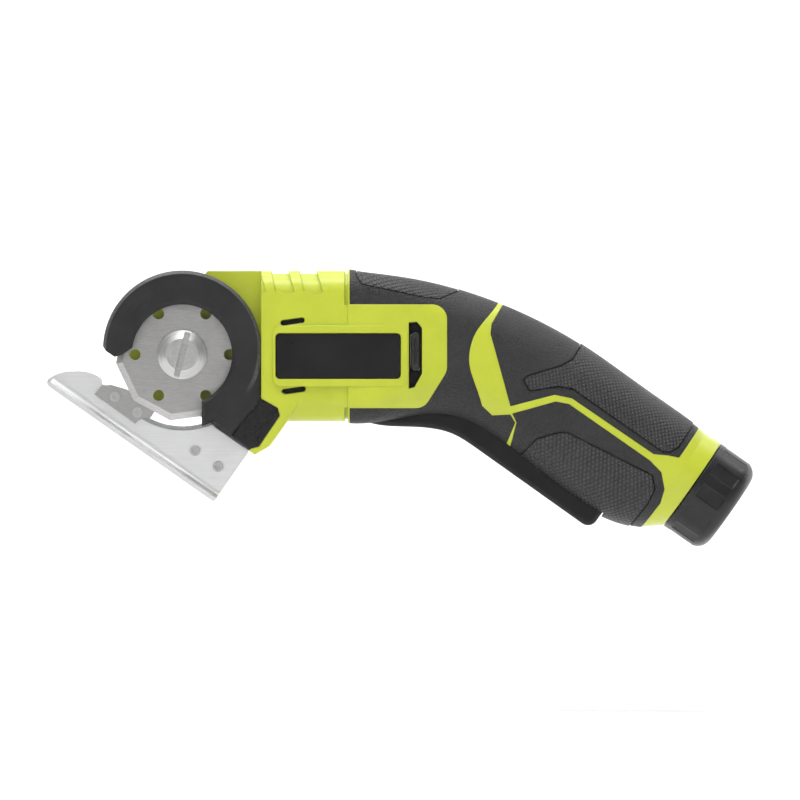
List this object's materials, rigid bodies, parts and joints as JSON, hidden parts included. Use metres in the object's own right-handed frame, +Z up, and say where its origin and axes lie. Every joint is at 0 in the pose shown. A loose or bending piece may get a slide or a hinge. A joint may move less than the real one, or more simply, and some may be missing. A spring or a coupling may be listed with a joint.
{
  "type": "rotary cutter",
  "caption": "Cordless rotary shear cutter: ten-sided blade in a C-shaped guard over a steel foot, two-part housing, bent rubber grip, paddle switch and round battery pack.",
  "frame": {"origin": "middle of the overall box in X and Y (Y = 0 is the parting plane of the housing halves), at its lowest point", "axes": "+Z up as the tool is held in the picture, +X from the cutting tip to the battery end, +Y away from the blade side"},
  "size_m": [0.2348, 0.0372, 0.0922],
  "materials": {
    "lime_plastic": "satin moulded plastic",
    "overmould_rubber": "fine-grained soft overmould",
    "grip_rubber": "soft rubber with small raised dots",
    "label_black": "blank satin black plate",
    "liner_black": "matte",
    "guard_black": "spark-eroded grain",
    "nose_black": "smooth satin",
    "blade_steel": "ground steel with bevelled edge",
    "foot_steel": "bright brushed sheet steel",
    "fastener_steel": "plated steel",
    "screw_steel": "turned steel",
    "cast_alloy": "as cast",
    "gear_steel": "sintered",
    "bearing_steel": "ground",
    "motor_metal": "zinc plated",
    "contact_brass": "plain",
    "paddle_plastic": "smooth satin",
    "button_plastic": "smooth satin",
    "cap_plastic": "satin",
    "pack_plastic": "matte",
    "cell_wrap": "shrink-wrapped can",
    "board_green": "solder mask",
    "chip_black": "matte",
    "spring_steel": "plain",
    "wire_red": "insulated wire"
  },
  "bodies": {
    "housing": {"housing_left": "lime_plastic", "housing_right": "lime_plastic", "overmould_left": "overmould_rubber", "overmould_right": "overmould_rubber", "grip_upper_left": "overmould_rubber", "grip_upper_right": "overmould_rubber", "grip_lower_left": "overmould_rubber", "grip_lower_right": "overmould_rubber", "pad_upper_left": "grip_rubber", "pad_upper_right": "grip_rubber", "pad_lower_left": "grip_rubber", "pad_lower_right": "grip_rubber", "thumb_pad": "grip_rubber", "label_plate_left": "label_black", "label_plate_right": "label_black", "window_liner_left": "liner_black", "window_liner_right": "liner_black", "blade_guard": "guard_black", "nose_block": "nose_black", "foot_bracket": "cast_alloy", "foot_plate": "foot_steel", "fixed_blade": "blade_steel", "blade_rivets": "fastener_steel", "foot_screws": "fastener_steel", "spindle_bearings": "bearing_steel", "gearbox_case": "motor_metal", "motor_can": "motor_metal", "motor_terminals": "contact_brass", "pivot_pin": "fastener_steel", "return_spring": "spring_steel", "microswitch": "chip_black", "socket_block": "pack_plastic", "socket_contacts": "contact_brass", "control_board": "board_green", "board_parts": "chip_black", "motor_wires": "wire_red", "housing_screws": "fastener_steel"},
    "blade_set": {"blade": "blade_steel", "blade_screw": "screw_steel", "spindle": "gear_steel", "crown_wheel": "gear_steel"},
    "drive": {"drive_shaft": "gear_steel", "pinion": "gear_steel"},
    "paddle": {"paddle": "paddle_plastic"},
    "plunger": {"switch_plunger": "button_plastic"},
    "button": {"lock_button": "button_plastic"},
    "battery": {"battery_case": "pack_plastic", "battery_cell": "cell_wrap", "pack_contacts": "contact_brass", "battery_cap": "cap_plastic"}
  },
  "joints": [
    {"name": "blade_spin", "type": "hinge", "parent": "housing", "child": "blade_set", "pos_m": [-0.07227, 0, 0.06357], "axis": [0, 1, 0], "continuous": true},
    {"name": "drive_spin", "type": "hinge", "parent": "housing", "child": "drive", "pos_m": [-0.05, 0, 0.06357], "axis": [1, 0, 0], "continuous": true},
    {"name": "paddle_squeeze", "type": "hinge", "parent": "housing", "child": "paddle", "pos_m": [-0.012, 0, 0.045], "axis": [0, -1, 0], "range_deg": [0, 3], "stiffness_Nm_per_rad": 2, "springref_deg": -1.72, "deforming": ["return_spring"]},
    {"name": "plunger_press", "type": "slide", "parent": "housing", "child": "plunger", "axis": [0, 0, 1], "range_m": [0, 0.0014]},
    {"name": "lock_button_slide", "type": "slide", "parent": "housing", "child": "button", "axis": [0, 1, 0], "range_m": [-0.0015, 0.0015], "stiffness_N_per_m": 300},
    {"name": "battery_pull", "type": "slide", "parent": "housing", "child": "battery", "axis": [0.8192, 0, -0.5736], "range_m": [0, 0.085]}
  ],
  "couplings": [
    {"joint": "drive_spin", "follows": "blade_spin", "ratio": -4},
    {"joint": "plunger_press", "follows": "paddle_squeeze", "m_per_rad": 0.026}
  ]
}
